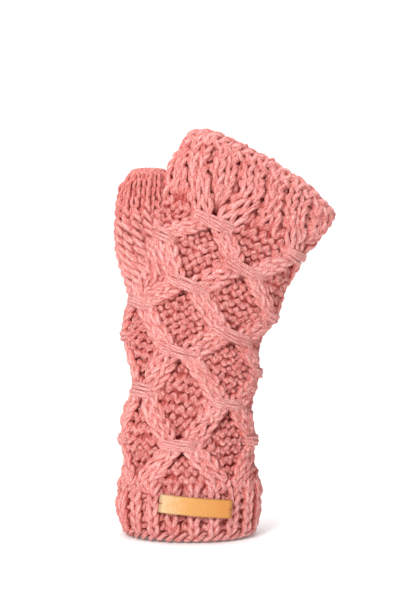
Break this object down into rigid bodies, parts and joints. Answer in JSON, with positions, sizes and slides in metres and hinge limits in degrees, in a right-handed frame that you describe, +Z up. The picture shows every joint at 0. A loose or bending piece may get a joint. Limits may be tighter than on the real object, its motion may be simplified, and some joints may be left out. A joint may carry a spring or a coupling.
{
  "type": "knitted arm warmer",
  "caption": "Fingerless arm warmer knitted in a chunky yarn: ribbed wrist, smocked lattice over the hand, open thumb tube, ribbed finger edge and a leather tag.",
  "frame": {"origin": "centre of the forearm opening, in the plane of the cast-on edge", "axes": "+Z up the arm towards the fingers, -Y out of the back of the hand, -X to the thumb's side, +X to the little finger"},
  "size_m": [0.1198, 0.0605, 0.2184],
  "materials": {
    "coral_yarn": "plied wool-blend yarn, slightly fuzzy, matt",
    "tan_leather": "smooth vegetable-tanned strap, cut edges, semi-matt"
  },
  "bodies": {
    "root": {"cast_on_edge": "coral_yarn", "wrist_rib": "coral_yarn", "lattice_body": "coral_yarn", "finger_rib": "coral_yarn", "finger_bind_off": "coral_yarn", "thumb_tube": "coral_yarn", "thumb_bind_off": "coral_yarn", "leather_tag": "tan_leather"}
  },
  "joints": []
}
